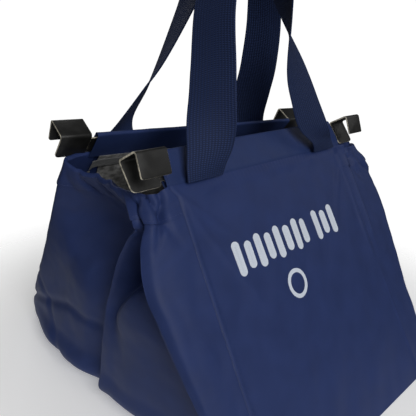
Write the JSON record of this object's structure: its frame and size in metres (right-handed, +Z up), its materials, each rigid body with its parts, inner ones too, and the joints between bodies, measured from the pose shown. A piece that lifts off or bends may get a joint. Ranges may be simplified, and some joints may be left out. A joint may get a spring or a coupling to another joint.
{
  "type": "trolley shopping bag",
  "caption": "Folding navy fabric shopping bag with steel bars and hooks along each side of its mouth, for hanging in a supermarket trolley, and webbing carrying handles.",
  "frame": {"origin": "middle of the underside of the bottom panel, which rests on the floor", "axes": "+Z up, +X along the bars towards the bag's right, seen from the front, and -Y towards the printed front"},
  "size_m": [0.4363, 0.4734, 0.5261],
  "materials": {
    "navy_cloth": "plain-woven navy polyester, coated inside, slightly satiny",
    "navy_webbing": "ribbed navy webbing, matt",
    "grey_lining": "mottled dark grey lining",
    "binding_tape": "woven grey binding tape",
    "black_steel": "semi-matt black coating with thin worn bright edges",
    "plain_steel": "plain zinc-plated steel",
    "grey_board": "grey stiffening board",
    "white_elastic": "white woven elastic"
  },
  "bodies": {
    "base": {"bottom_panel": "navy_cloth", "base_board": "grey_board", "bottom_lining": "grey_lining", "gusset_centre_left": "navy_cloth", "gusset_centre_right": "navy_cloth", "gusset_lining_left": "grey_lining", "gusset_lining_right": "grey_lining", "hem_elastic_left": "white_elastic", "hem_elastic_right": "white_elastic"},
    "front_side": {"front_panel": "navy_cloth", "front_lining": "grey_lining", "front_sleeve": "navy_cloth", "front_bar": "plain_steel", "front_binding": "binding_tape", "front_hook_left": "black_steel", "front_hook_right": "black_steel", "front_rivet_left_1": "plain_steel", "front_rivet_left_2": "plain_steel", "front_rivet_right_1": "plain_steel", "front_rivet_right_2": "plain_steel", "gusset_front_left": "navy_cloth", "gusset_front_right": "navy_cloth", "hem_front_left": "navy_cloth", "hem_front_right": "navy_cloth"},
    "back_side": {"back_panel": "navy_cloth", "back_lining": "grey_lining", "back_sleeve": "navy_cloth", "back_bar": "plain_steel", "back_binding": "binding_tape", "back_hook_left": "black_steel", "back_hook_right": "black_steel", "back_rivet_left_1": "plain_steel", "back_rivet_left_2": "plain_steel", "back_rivet_right_1": "plain_steel", "back_rivet_right_2": "plain_steel", "gusset_back_left": "navy_cloth", "gusset_back_right": "navy_cloth", "hem_back_left": "navy_cloth", "hem_back_right": "navy_cloth"},
    "front_handle": {"front_handle": "navy_webbing"},
    "back_handle": {"back_handle": "navy_webbing"}
  },
  "joints": [
    {"name": "front_side_hinge", "type": "hinge", "parent": "base", "child": "front_side", "pos_m": [0, -0.23666, 0.002], "axis": [1, 0, 0], "range_deg": [0, 33], "deforming": ["hem_elastic_left", "hem_elastic_right"]},
    {"name": "back_side_hinge", "type": "hinge", "parent": "base", "child": "back_side", "pos_m": [0, 0.23666, 0.002], "axis": [-1, 0, 0], "range_deg": [0, 33], "deforming": ["hem_elastic_left", "hem_elastic_right"]},
    {"name": "front_handle_swing", "type": "hinge", "parent": "front_side", "child": "front_handle", "pos_m": [0.00427, -0.06669, 0.27373], "axis": [0.9991, 0.0419, 0], "range_deg": [0, 120]},
    {"name": "back_handle_swing", "type": "hinge", "parent": "back_side", "child": "back_handle", "pos_m": [-0.00373, 0.06669, 0.27373], "axis": [-0.9988, 0.0419, 0.0262], "range_deg": [0, 120]}
  ]
}
